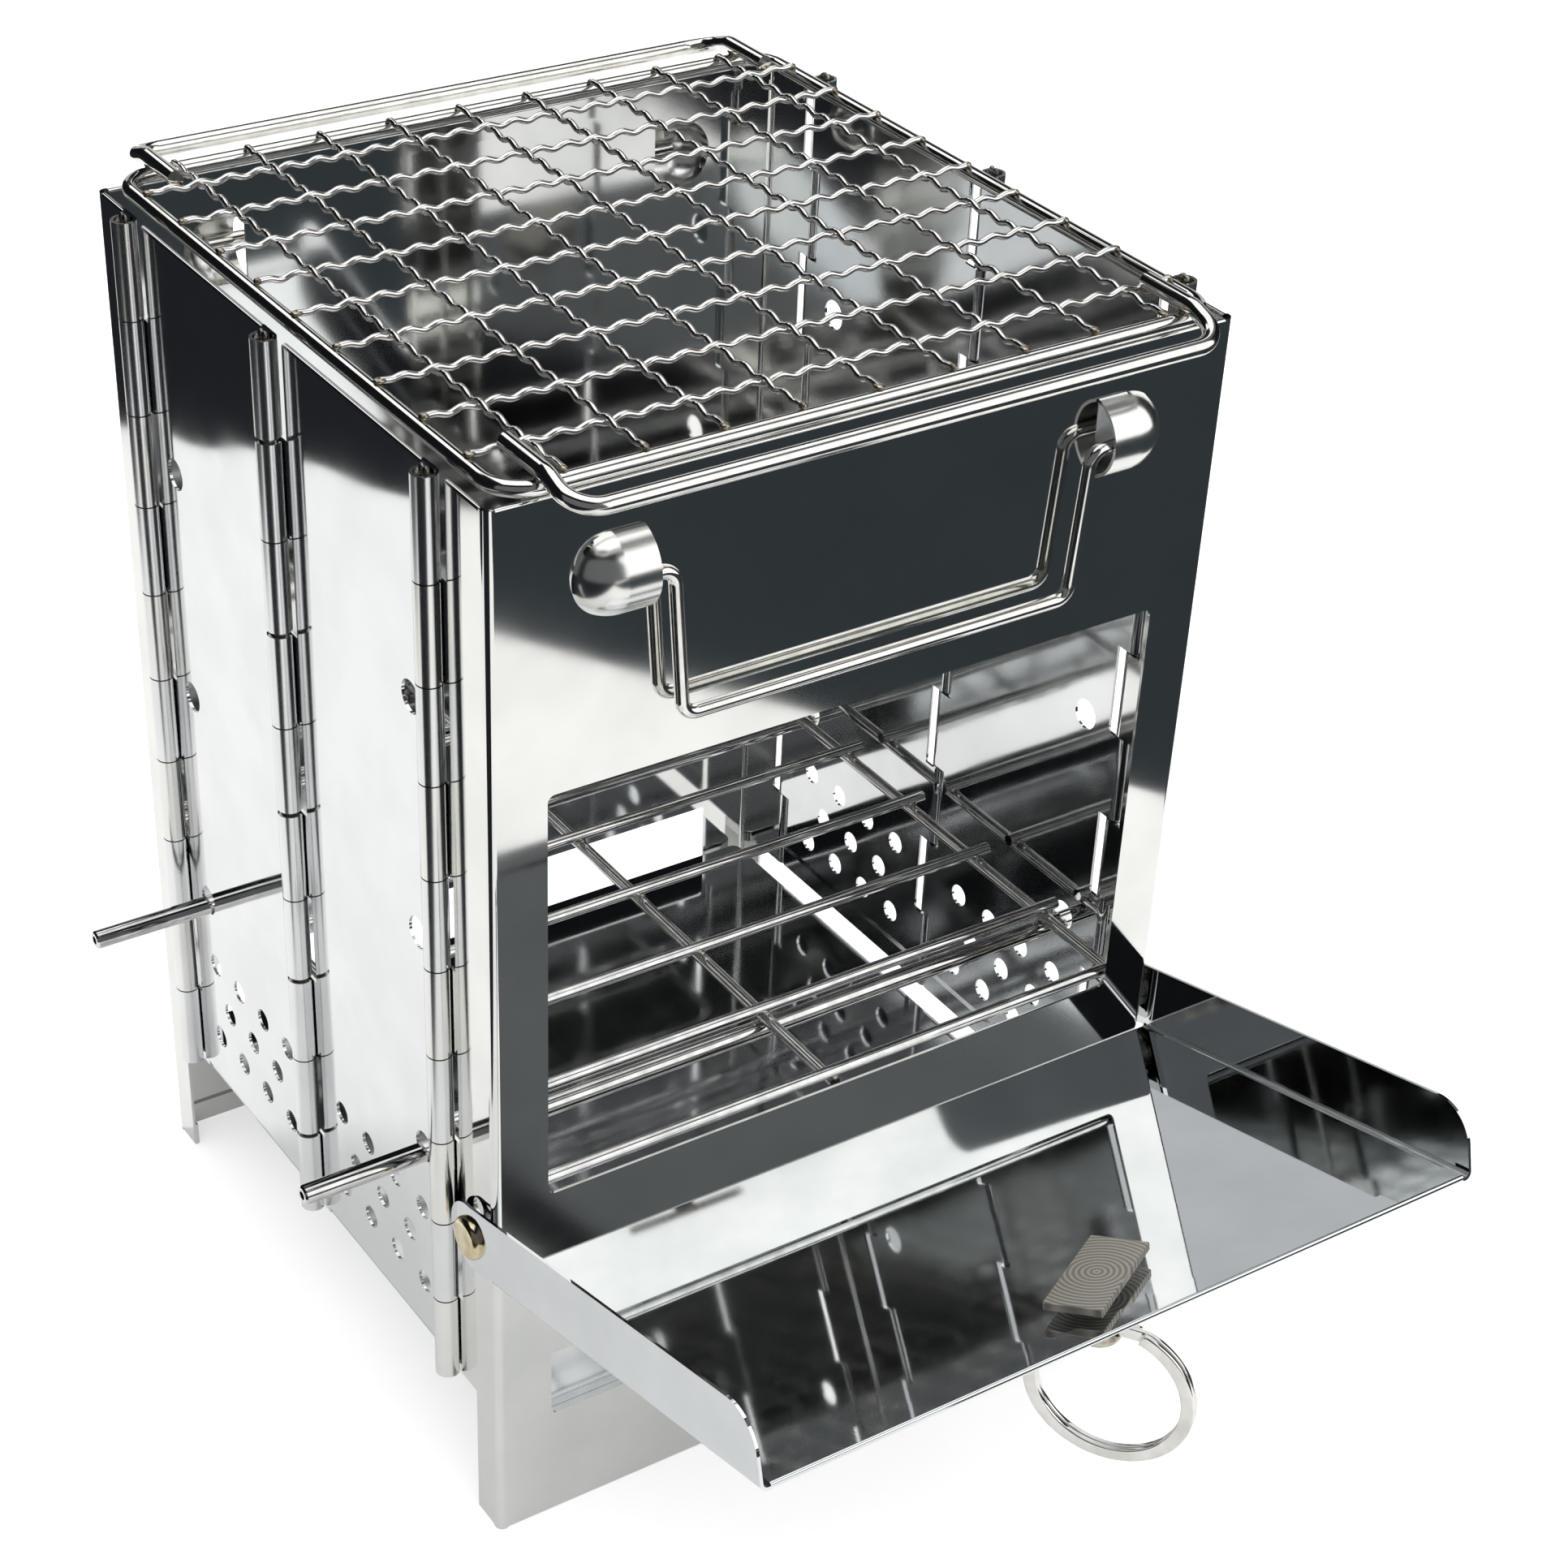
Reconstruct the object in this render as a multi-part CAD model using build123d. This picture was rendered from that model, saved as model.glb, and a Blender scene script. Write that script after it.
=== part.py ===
from build123d import *
import math
import os

# Folding camping wood stove: two sheet shells joined by four hinged half walls,
# a drop-down fuel door, a loose grate on two rods, an ash plate and a wire grill.
# X runs to the right, the fuel door faces -Y, Z is up, and Z = 0 is the floor.
# The origin is the middle of the box on the floor. All sizes are millimetres.

os.makedirs("parts", exist_ok=True)

# Box
sheet = 0.6              # thickness of every sheet piece
box_w = 155.0            # left to right over the shells' flanges
box_d = 151.0            # over the front and back faces
box_h = 228.0            # height of the shells, floor to top edge
bend_r = 1.5             # outer radius of the upright bends
hem_h = 5.0              # depth of a folded hem
foot_hem_h = 5.5         # depth of the hem at the floor
hem_round = 0.5          # rounding of a folded edge
mitre = 0.5              # step between a bend and the hems beside it

# Feet
foot_h = 31.7            # height of the shells' feet, below the hinges
foot_depth = 8.3         # depth of a foot behind the face

# Hinges
hinge_inset = 16.6       # from the front or back face to the corner pins
pin_d = 3.5
pin_gap = 0.1            # radial clearance of a pin in its knuckles
knuckle_count = 10
knuckle_gap = 0.3        # gap between neighbouring knuckles
middle_gap = 1.0         # wider gap under the middle hinges' upper knuckles
hinge_over = 0.5         # the knuckles stand this far above the top edge
leaf_relief = 3.4        # from the pin line to a leaf's edge beside the other leaf's knuckle
curl_sweep = 310.0       # how far a knuckle is curled
pin_chamfer = 0.4
pin_recess = 0.8         # the pin ends below the knuckles' ends

# Half walls
wall_bottom = 32.5       # lower edge above the floor
vent_d = 5.0             # air holes
vent_pitch = 11.4        # along the wall
vent_z = (44.7, 54.1, 63.8)
vent_counts = (4, 3, 4)
rod_hole_d = 6.5
rod_hole_inset = 10.9    # from the corner pin to the rod holes
rod_hole_z = 80.0        # lowest row
rod_hole_pitch = 50.0
rod_hole_rows = 3

# Front and back openings
window_w = 132.0         # fuel window
window_z0 = 82.7
window_z1 = 171.0
window_r = 1.5
ash_w = 130.8            # ash windows, front and back
ash_z0 = 26.3
ash_z1 = 42.3
ash_r = 1.0
ledge_depth = 15.0       # the ash window's flap, bent inward
ledge_side = 0.4         # the flap is this much narrower at each side

# Door
pivot_inset = 6.5        # from the front face back to the rivets
pivot_z = 73.4
door_reach = 100.0       # from the rivets to the free edge
door_rise = 14.8         # open door rises this many degrees to its free edge
door_clear = 0.2         # hem to the front face when closed, edge to it when open
door_flange_h = 7.0      # flange above the rivet line
door_heel_r = 7.2        # rounded heel about the rivet
door_toe_r = 8.0         # rounded front corner of the flange
washer_t = 1.1
rub_gap = 0.05           # between faces that slide on each other
rivet_d = 4.0
rivet_gap = 0.05         # radial clearance in the shell
rivet_seat = 0.02        # radial clearance in the door and washers
rivet_head_d = 9.0
rivet_head_t = 1.5
rivet_tail_d = 6.4
rivet_tail_t = 0.8
flange_hole_d = 3.8      # open hole in the front shell's flanges
flange_hole_inset = 6.1
flange_hole_z = 80.4

# Latch
latch_x = 2.0
latch_reach = 85.8       # from the rivets along the door
latch_l = 25.5
latch_w = 11.2
latch_t = 1.6
latch_lift = 2.0         # plate above the door's inner face
latch_turn = 58.0        # long side turned from the door's depth, towards the left
spindle_d = 4.6
spindle_gap = 0.1
stud_d = 7.6             # thick end of the spindle under the door
stud_l = 9.6
stud_clear = 0.2
stud_round = 1.2
ring_hole_d = 5.0
ring_hole_drop = 5.6     # from the stud's upper face to the ring hole
ring_od = 32.8
ring_radial = 2.6
ring_axial = 2.4
ring_round = 0.6
ring_sag = 0.35          # the ring's wire hangs this far below the hole's centre

# Handles in the ears
ear_inset = 30.0         # from the box's side to an ear's open end
ear_l = 14.0
ear_h = 15.5
ear_out = 6.0
ear_drop = 17.0          # an ear's middle below the top edge
bail_d = 2.6
bail_seat = 0.3          # wire to the ear's roof
bail_reach = 6.5         # the wire's ends reach this far into the ears
bail_leg_off = 3.7       # from an ear's mouth to the leg's upper end
bail_bar_off = 6.0       # and to its lower end
bail_drop = 29.0
bail_bend = 3.0

# Grill
rail_d = 3.0
rail_rest = 0.02         # rail above the shells' top edges
rail_inset = 4.0         # side rails' centre lines inside the box's sides
rail_on_hem = 0.1        # rail's centre line beyond the hem's inner face
rail_bend = 7.0
mesh_d = 1.4
mesh_count = 9           # wires each way
mesh_side = 11.5         # from a side rail to the outer wire
mesh_front = 12.4        # from a front or back rail to the outer wire
mesh_end = 0.9           # wire ends past the side rails' centre line
mesh_butt = 0.02
handle_d = 3.2
handle_seat = 0.01       # legs above the rail
handle_inset = 7.0       # legs inside the side rails
handle_lap = 11.45       # a leg runs this far over the mesh, from the rail
handle_kink_out = 0.9    # where a leg turns down, outside the face
handle_out = 9.7         # bar's centre outside the face
handle_droop = 2.98      # bar's centre below the legs'
handle_bend = 6.0

# Grate and its rods
rod_d = 4.0
rod_left = 26.0          # a rod stands out of the left wall
rod_right = 2.5          # and out of the right wall
rod_chamfer = 0.4
rod_bore_d = 1.8
rod_bore_l = 2.5
rest_gap = 0.02
bar_d = 2.5
bar_count = 7
bar_edge = 2.6           # outer bars' centre lines inside the faces
bar_end = 3.5            # the bars end inside the box's sides
cross_inset = 6.5        # outer cross bars inside the box's sides
cross_over = 1.1         # cross bars end past the outer bars' centre lines

# Ash plate
plate_top = 29.2
plate_side = 2.4         # clearance to the walls' inner faces
plate_end = 1.1          # clearance to the shells' inner faces
plate_corner = 2.0

# Places that follow from the sizes above
half_w = box_w / 2
half_d = box_d / 2
bore_d = pin_d + 2 * pin_gap
curl_d = bore_d + 2 * sheet
pin_x = half_w + bore_d / 2
pin_y = half_d - hinge_inset
hinge_h = box_h + hinge_over - foot_h
pitch = hinge_h / knuckle_count
flange_end = pin_y + leaf_relief
pivot_y = -half_d + pivot_inset
ear_x0 = half_w - ear_inset
ear_z = box_h - ear_drop
rod_y = pin_y - rod_hole_inset
rod_r = rod_d / 2
rod_z = rod_hole_z - rod_hole_d / 2 + rod_r + rest_gap


def block(x0, x1, y0, y1, z0, z1):
    centre = ((x0 + x1) / 2, (y0 + y1) / 2, (z0 + z1) / 2)
    return Pos(*centre) * Box(abs(x1 - x0), abs(y1 - y0), abs(z1 - z0))


def bar_along_x(x0, x1, y, z, d):
    return Pos((x0 + x1) / 2, y, z) * Rot(0, 90, 0) * Cylinder(d / 2, abs(x1 - x0))


def bar_along_y(x, y0, y1, z, d):
    return Pos(x, (y0 + y1) / 2, z) * Rot(90, 0, 0) * Cylinder(d / 2, abs(y1 - y0))


def bar_along_z(x, y, z0, z1, d):
    return Pos(x, y, (z0 + z1) / 2) * Cylinder(d / 2, abs(z1 - z0))


def flip(shape):
    """The same shape turned half round about the box's upright centre line."""
    return Rot(0, 0, 180) * shape


def left_of(shape):
    return mirror(shape, about=Plane.YZ)


def wire_tube(points, radius, d):
    """A bent round wire through the points."""
    path = FilletPolyline(*points, radius=radius)
    section = Plane(origin=path @ 0, z_dir=path % 0) * Circle(d / 2)
    return sweep(section, path=path)


def hem(body, x0, x1, y0, y1, z0, z1, along, upper):
    """Fold a strip of the body over: the strip is two sheets thick with a rounded edge."""
    strip = block(x0, x1, y0, y1, z0, z1)
    edges = strip.edges().filter_by(along).group_by(Axis.Z)[-1 if upper else 0]
    return body - strip + fillet(edges, hem_round)


def knuckles(y_pin, y_leaf, owns_top, middle):
    """Curled ears of a right-hand leaf that reach from y_leaf to the pin at y_pin."""
    way = 1 if y_pin > y_leaf else -1
    start = (half_w - sheet, y_leaf)
    outer = CenterArc((pin_x, y_pin), curl_d / 2, 180, -way * curl_sweep)
    inner = CenterArc((pin_x, y_pin), bore_d / 2, 180, -way * curl_sweep)
    outline = Line(start, outer @ 0) + outer + Line(outer @ 1, inner @ 1) + inner
    outline += Line(inner @ 0, (half_w, y_leaf)) + Line((half_w, y_leaf), start)
    face = make_face(outline)
    ears = []
    for i in range(knuckle_count):
        mine = (knuckle_count - 1 - i) % 2 == (0 if owns_top else 1)
        if not mine:
            continue
        low = foot_h + i * pitch + (knuckle_gap / 2 if i > 0 else 0)
        high = foot_h + (i + 1) * pitch - (knuckle_gap / 2 if i < knuckle_count - 1 else 0)
        if middle and owns_top:
            low += middle_gap - knuckle_gap
        ears.append(Pos(0, 0, low) * extrude(face, amount=high - low, dir=(0, 0, 1)))
    return ears


def ear():
    """Half-round ears pressed out of the front face, open towards the middle: the metal
    that stands out, and the hollow behind it."""
    radius = ((ear_h / 2) ** 2 + ear_out ** 2) / (2 * ear_out)
    y_c = -half_d + radius - ear_out
    dome = math.sqrt(radius ** 2 - (radius - ear_out) ** 2)
    x_c = ear_x0 + ear_l - dome

    def bulb(r, x_start, y_face):
        body = bar_along_x(x_start, x_c, y_c, ear_z, 2 * r) + Pos(x_c, y_c, ear_z) * Sphere(r)
        body = body & block(x_start, x_c + r + 1, y_c - r - 1, y_face, ear_z - r - 1, ear_z + r + 1)
        return body

    outer = bulb(radius, ear_x0, -half_d + sheet / 2)
    hollow = bulb(radius - sheet, ear_x0, -half_d + sheet + 0.1) + bulb(radius - sheet, ear_x0 - 1, -half_d)
    return outer, hollow


def shell(front):
    outer = block(-half_w, half_w, -half_d, -flange_end, 0, box_h)
    outer = fillet(outer.edges().filter_by(Axis.Z).group_by(Axis.Y)[0], bend_r)
    inner = block(-half_w + sheet, half_w - sheet, -half_d + sheet, -flange_end + 1, -1, box_h + 1)
    inner = fillet(inner.edges().filter_by(Axis.Z).group_by(Axis.Y)[0], bend_r - sheet)
    body = outer - inner
    body -= block(-half_w - 1, half_w + 1, -half_d + foot_depth, -flange_end + 1, -1, foot_h)

    hx = half_w - bend_r - mitre
    hy = -half_d + bend_r + mitre
    hem_in = -half_d + 2 * sheet
    body = hem(body, -hx, hx, -half_d, hem_in, box_h - hem_h, box_h, Axis.X, True)
    body = hem(body, -hx, hx, -half_d, hem_in, 0, foot_hem_h, Axis.X, False)
    for s in (-1, 1):
        xa, xb = sorted((s * (half_w - 2 * sheet), s * half_w))
        body = hem(body, xa, xb, hy, -flange_end, box_h - hem_h, box_h, Axis.Y, True)
        body = hem(body, xa, xb, hy, -half_d + foot_depth, 0, foot_hem_h, Axis.Y, False)

    for piece in knuckles(-pin_y, -flange_end - 1, True, False):
        body += piece
    for piece in knuckles(-pin_y, -flange_end - 1, False, False):
        body += left_of(piece)

    ash = Plane.XZ * RectangleRounded(ash_w, ash_z1 - ash_z0, ash_r)
    ash = extrude(Pos(0, -half_d + sheet + 0.5, (ash_z0 + ash_z1) / 2) * ash, amount=sheet + 1, dir=(0, -1, 0))
    body -= ash
    ledge = ash_w / 2 - ledge_side
    body += block(-ledge, ledge, -half_d + sheet / 2, -half_d + ledge_depth, ash_z0 - sheet, ash_z0)

    if front:
        window = Plane.XZ * RectangleRounded(window_w, window_z1 - window_z0, window_r)
        middle = (window_z0 + window_z1) / 2
        body -= extrude(Pos(0, -half_d + sheet + 0.5, middle) * window, amount=sheet + 1, dir=(0, -1, 0))
        hole_d = rivet_d + 2 * rivet_gap
        body -= bar_along_x(-half_w - 1, half_w + 1, pivot_y, pivot_z, hole_d)
        hole_y = -half_d + flange_hole_inset
        body -= bar_along_x(-half_w - 1, half_w + 1, hole_y, flange_hole_z, flange_hole_d)

    bulge, hollow = ear()
    body = body + bulge + left_of(bulge)
    return body - hollow - left_of(hollow)


def half_wall(y_lo, y_hi, corner_y):
    """Right-hand half wall between the pins at y_lo and y_hi; its upper knuckle is at y_hi."""
    ya = y_lo + leaf_relief
    yb = y_hi - leaf_relief
    body = block(half_w - sheet, half_w, ya, yb, wall_bottom, box_h)
    xa = half_w - 2 * sheet
    body = hem(body, xa, half_w, ya, yb, box_h - hem_h, box_h, Axis.Y, True)
    body = hem(body, xa, half_w, ya, yb, wall_bottom, wall_bottom + hem_h, Axis.Y, False)
    for piece in knuckles(y_lo, ya + 1, False, y_lo == 0):
        body += piece
    for piece in knuckles(y_hi, yb - 1, True, y_hi == 0):
        body += piece
    mid = (y_lo + y_hi) / 2
    for z, count in zip(vent_z, vent_counts):
        for k in range(count):
            y = mid + (k - (count - 1) / 2) * vent_pitch
            body -= bar_along_x(half_w - 2, half_w + 1, y, z, vent_d)
    toward_middle = -1 if corner_y > mid else 1
    y = corner_y + toward_middle * rod_hole_inset
    for k in range(rod_hole_rows):
        body -= bar_along_x(half_w - 2, half_w + 1, y, rod_hole_z + k * rod_hole_pitch, rod_hole_d)
    return body


front_shell = shell(True)
back_shell = flip(shell(False))
right_front_panel = half_wall(-pin_y, 0, -pin_y)
right_rear_panel = half_wall(0, pin_y, pin_y)
left_rear_panel = flip(half_wall(-pin_y, 0, -pin_y))
left_front_panel = flip(half_wall(0, pin_y, pin_y))


def hinge_pin(x, y):
    pin = bar_along_z(x, y, foot_h + pin_recess, foot_h + hinge_h - pin_recess, pin_d)
    return chamfer(pin.edges().filter_by(GeomType.CIRCLE), pin_chamfer)


front_hinge_pins = [hinge_pin(-pin_x, -pin_y), hinge_pin(pin_x, -pin_y)]
rear_hinge_pins = [hinge_pin(-pin_x, pin_y), hinge_pin(pin_x, pin_y)]
left_middle_pin = [hinge_pin(-pin_x, 0)]
right_middle_pin = [hinge_pin(pin_x, 0)]

# Door, drawn lying flat: +Y runs from the rivets to the free edge, +Z to the inside of
# the tray and the rivets are on the X axis. It is then turned into its open place.
hem_face = -(pivot_inset + door_clear)
door_in = hem_face - sheet
door_out = door_in - sheet
door_x_in = half_w + 2 * rub_gap + washer_t
door_x = door_x_in + sheet
rise = math.radians(door_rise)
door_heel = (pivot_inset + door_clear + door_in * math.sin(rise)) / math.cos(rise)


def door_tray():
    outer = block(-door_x, door_x, door_heel, door_reach, door_out, door_flange_h)
    outer = fillet(outer.edges().filter_by(Axis.Y).group_by(Axis.Z)[0], bend_r)
    inner = block(-door_x_in, door_x_in, door_heel - 1, door_reach + 1, door_in, door_flange_h + 1)
    inner = fillet(inner.edges().filter_by(Axis.Y).group_by(Axis.Z)[0], bend_r - sheet)
    tray = outer - inner
    for s in (-1, 1):
        xa, xb = sorted((s * door_x_in, s * door_x))
        heel = bar_along_x(xa, xb, 0, 0, 2 * door_heel_r)
        tray += heel
        tray += block(xa, xb, 0, door_heel + 1, -door_heel_r, door_flange_h)
        corner = block(xa - 1, xb + 1, door_reach - door_toe_r, door_reach + 1,
                       door_flange_h - door_toe_r, door_flange_h + 1)
        corner -= bar_along_x(xa - 2, xb + 2, door_reach - door_toe_r, door_flange_h - door_toe_r, 2 * door_toe_r)
        tray -= corner
    hx = door_x - bend_r - mitre
    hem_y = door_reach - hem_h
    strip = block(-hx, hx, hem_y, door_reach, door_out, hem_face)
    edges = strip.edges().filter_by(Axis.X).group_by(Axis.Y)[-1]
    tray = tray - strip + fillet(edges, hem_round)
    tray -= bar_along_x(-door_x - 1, door_x + 1, 0, 0, rivet_d + 2 * rivet_seat)
    tray -= bar_along_z(latch_x, latch_reach, door_out - 1, door_in + 1, spindle_d + 2 * spindle_gap)
    return tray


def rivet():
    """Right-hand rivet: domed head outside the door, shank, and the tail inside the shell."""
    head = bar_along_x(door_x, door_x + rivet_head_t, 0, 0, rivet_head_d)
    head = fillet(head.edges().filter_by(GeomType.CIRCLE).group_by(Axis.X)[-1], rivet_head_t * 0.9)
    tail_x = half_w - sheet - rub_gap
    shank = bar_along_x(tail_x - rivet_tail_t / 2, door_x + rivet_head_t / 2, 0, 0, rivet_d)
    tail = bar_along_x(tail_x - rivet_tail_t, tail_x, 0, 0, rivet_tail_d)
    tail = fillet(tail.edges().filter_by(GeomType.CIRCLE).group_by(Axis.X)[0], rivet_tail_t * 0.6)
    return head + shank + tail


def washer():
    x0 = half_w + rub_gap
    return bar_along_x(x0, x0 + washer_t, 0, 0, rivet_head_d) - bar_along_x(
        x0 - 1, x0 + washer_t + 1, 0, 0, rivet_d + 2 * rivet_seat)


def to_open(shape):
    """From the flat drawing to the open door's place."""
    return Pos(0, pivot_y, pivot_z) * Rot(-door_rise, 0, 0) * Rot(0, 0, 180) * shape


# Turning the flat drawing half round swaps left and right, so the latch is drawn at -X.
latch_flat = Pos(-latch_x, latch_reach, 0)
plate_z0 = door_in + latch_lift


def latch_plate_flat():
    plate = Box(latch_w, latch_l, latch_t)
    plate = chamfer(plate.edges(), 0.15)
    return latch_flat * Pos(0, 0, plate_z0 + latch_t / 2) * Rot(0, 0, -latch_turn) * plate


stud_top = door_out - stud_clear
ring_hole_z = stud_top - ring_hole_drop


def spindle_flat():
    shank = bar_along_z(0, 0, stud_top - 0.5, plate_z0, spindle_d)
    stud = bar_along_z(0, 0, stud_top - stud_l, stud_top, stud_d)
    stud = fillet(stud.edges().filter_by(GeomType.CIRCLE).group_by(Axis.Z)[0], stud_round)
    body = shank + stud
    body -= bar_along_x(-stud_d, stud_d, 0, ring_hole_z, ring_hole_d)
    return latch_flat * Rot(0, 0, -latch_turn) * body


def ring_flat():
    """Split ring through the stud's hole; its plane holds the hole's axis and hangs level."""
    mean_r = (ring_od - ring_radial) / 2
    ring = Cylinder(ring_od / 2, ring_axial) - Cylinder(ring_od / 2 - ring_radial, ring_axial + 1)
    ring = fillet(ring.edges().filter_by(GeomType.CIRCLE), ring_round)
    ring = Rot(90, 0, 0) * ring
    ring = Pos(0, 0, -(mean_r + ring_sag)) * ring
    ring = Rot(ring_hang, 0, 0) * ring
    return latch_flat * Rot(0, 0, -latch_turn) * Pos(0, 0, ring_hole_z) * ring


# Down, seen in the latch's own frame, gives the angle at which the ring hangs.
turn = math.radians(latch_turn)
down_flat = (0.0, -math.sin(rise), -math.cos(rise))
down_y = math.sin(turn) * down_flat[0] * -1 + math.cos(turn) * down_flat[1]
ring_hang = math.degrees(math.atan2(down_y, -down_flat[2]))

door = [to_open(door_tray().mirror(Plane.YZ))]
rivet_shape = rivet()
door_rivets = [to_open(rivet_shape), to_open(left_of(rivet_shape))]
washer_shape = washer()
door_washers = [to_open(washer_shape), to_open(left_of(washer_shape))]
latch_plate = [to_open(latch_plate_flat())]
latch_spindle = [to_open(spindle_flat())]
latch_ring = [to_open(ring_flat())]

# Bails
bail_y = -half_d - (ear_out - sheet - bail_d / 2 - bail_seat)


def bail():
    z1 = ear_z - bail_drop
    end_x = ear_x0 + bail_reach
    leg_x = ear_x0 - bail_leg_off
    bar_x = ear_x0 - bail_bar_off
    points = [
        (-end_x, bail_y, ear_z),
        (-leg_x, bail_y, ear_z),
        (-bar_x, bail_y, z1),
        (bar_x, bail_y, z1),
        (leg_x, bail_y, ear_z),
        (end_x, bail_y, ear_z),
    ]
    return wire_tube(points, bail_bend, bail_d)


front_bail = [bail()]
rear_bail = [flip(bail())]

# Grill
rail_x = half_w - rail_inset
rail_y = half_d - 2 * sheet + rail_on_hem
rail_z = box_h + rail_d / 2 + rail_rest
rail_top = rail_z + rail_d / 2


def rounded_frame():
    path = Pos(0, 0, rail_z) * RectangleRounded(2 * rail_x, 2 * rail_y, rail_bend)
    wire = path.wires()[0]
    section = Plane(origin=wire @ 0, z_dir=wire % 0) * Circle(rail_d / 2)
    return sweep(section, path=wire)


def grill_handle():
    z_leg = rail_top + handle_d / 2 + handle_seat
    x_leg = rail_x - handle_inset
    points = []
    for s in (-1, 1):
        leg = [
            (s * x_leg, -rail_y + handle_lap, z_leg),
            (s * x_leg, -half_d - handle_kink_out, z_leg),
            (s * x_leg, -half_d - handle_out, z_leg - handle_droop),
        ]
        points += leg if s < 0 else leg[::-1]
    return wire_tube(points, handle_bend, handle_d)


grill_frame = [rounded_frame()]
grill_front_handle = [grill_handle()]
grill_rear_handle = [flip(grill_handle())]
mesh_steps = [2 * k / (mesh_count - 1) - 1 for k in range(mesh_count)]
long_at = [step * (rail_y - mesh_front) for step in mesh_steps]
short_at = [step * (rail_x - mesh_side) for step in mesh_steps]
long_z = rail_top + mesh_d / 2
short_z = rail_top - mesh_d / 2
long_half = rail_x + mesh_end
short_half = rail_y - rail_d / 2 - mesh_butt
grill_long_wires = [bar_along_x(-long_half, long_half, y, long_z, mesh_d) for y in long_at]
grill_short_wires = [bar_along_y(x, -short_half, short_half, short_z, mesh_d) for x in short_at]

# Grate on its rods
cross_z = rod_z + rod_r + bar_d / 2 + rest_gap
bar_z = cross_z + bar_d
bar_at = [(2 * k / (bar_count - 1) - 1) * (half_d - bar_edge) for k in range(bar_count)]
bar_half = half_w - bar_end
cross_x = half_w - cross_inset
cross_half = bar_at[-1] + cross_over
grate_bars = [bar_along_x(-bar_half, bar_half, y, bar_z, bar_d) for y in bar_at]
grate_cross_bars = [bar_along_y(x, -cross_half, cross_half, cross_z, bar_d) for x in (-cross_x, 0, cross_x)]


def support_rod(y):
    x0 = -half_w - rod_left
    x1 = half_w + rod_right
    rod = bar_along_x(x0, x1, y, rod_z, rod_d)
    rod = chamfer(rod.edges().filter_by(GeomType.CIRCLE), rod_chamfer)
    rod -= bar_along_x(x0 - 1, x0 + rod_bore_l, y, rod_z, rod_bore_d)
    rod -= bar_along_x(x1 - rod_bore_l, x1 + 1, y, rod_z, rod_bore_d)
    return rod


front_support_rod = [support_rod(-rod_y)]
rear_support_rod = [support_rod(rod_y)]

# Ash plate: a sheet with its rim turned down, standing on the two ledges
plate_x = half_w - sheet - plate_side
plate_y = half_d - sheet - plate_end
plate_z0 = ash_z0 + rub_gap
rim_corner = plate_corner - sheet


def ash_tray():
    outer = block(-plate_x, plate_x, -plate_y, plate_y, plate_z0, plate_top)
    outer = fillet(outer.edges().filter_by(Axis.Z), plate_corner)
    outer = fillet(outer.faces().sort_by(Axis.Z)[-1].edges(), hem_round)
    xi = plate_x - sheet
    yi = plate_y - sheet
    inner = block(-xi, xi, -yi, yi, plate_z0 - 1, plate_top - sheet)
    inner = fillet(inner.edges().filter_by(Axis.Z), rim_corner)
    return outer - inner


ash_plate = [ash_tray()]

nodes = {
    "front_shell": [front_shell],
    "back_shell": [back_shell],
    "left_front_panel": [left_front_panel],
    "left_rear_panel": [left_rear_panel],
    "right_front_panel": [right_front_panel],
    "right_rear_panel": [right_rear_panel],
    "front_hinge_pins": front_hinge_pins,
    "left_middle_pin": left_middle_pin,
    "right_middle_pin": right_middle_pin,
    "rear_hinge_pins": rear_hinge_pins,
    "door": door,
    "door_rivets": door_rivets,
    "door_washers": door_washers,
    "latch_plate": latch_plate,
    "latch_spindle": latch_spindle,
    "latch_ring": latch_ring,
    "front_bail": front_bail,
    "rear_bail": rear_bail,
    "grill_frame": grill_frame,
    "grill_front_handle": grill_front_handle,
    "grill_rear_handle": grill_rear_handle,
    "grill_long_wires": grill_long_wires,
    "grill_short_wires": grill_short_wires,
    "grate_bars": grate_bars,
    "grate_cross_bars": grate_cross_bars,
    "front_support_rod": front_support_rod,
    "rear_support_rod": rear_support_rod,
    "ash_plate": ash_plate,
}

for name, shapes in nodes.items():
    solids = [solid for shape in shapes for solid in shape.solids()]
    export_step(Compound(children=solids) if len(solids) > 1 else solids[0], f"parts/{name}.step")
    print(name, len(solids), round(sum(solid.volume for solid in solids), 2))
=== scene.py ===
import math

import bmesh
import bpy
from mathutils import Matrix, Vector


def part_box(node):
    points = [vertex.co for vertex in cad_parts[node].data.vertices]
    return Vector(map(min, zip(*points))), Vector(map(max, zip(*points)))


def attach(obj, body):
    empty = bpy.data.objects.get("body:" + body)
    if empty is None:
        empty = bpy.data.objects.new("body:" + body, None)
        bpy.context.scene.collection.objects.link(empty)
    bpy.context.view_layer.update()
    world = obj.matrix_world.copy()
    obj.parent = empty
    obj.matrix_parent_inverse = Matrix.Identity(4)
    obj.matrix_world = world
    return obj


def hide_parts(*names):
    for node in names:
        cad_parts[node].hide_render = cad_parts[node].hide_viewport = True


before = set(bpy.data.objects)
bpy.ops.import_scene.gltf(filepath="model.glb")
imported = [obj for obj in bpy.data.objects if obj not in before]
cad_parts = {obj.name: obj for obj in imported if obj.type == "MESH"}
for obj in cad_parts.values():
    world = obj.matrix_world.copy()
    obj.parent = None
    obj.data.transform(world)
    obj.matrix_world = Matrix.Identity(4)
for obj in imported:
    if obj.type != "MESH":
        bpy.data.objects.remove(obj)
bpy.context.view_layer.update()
MM = 0.001

# The camera of the photograph, fitted to the box's edges

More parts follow.
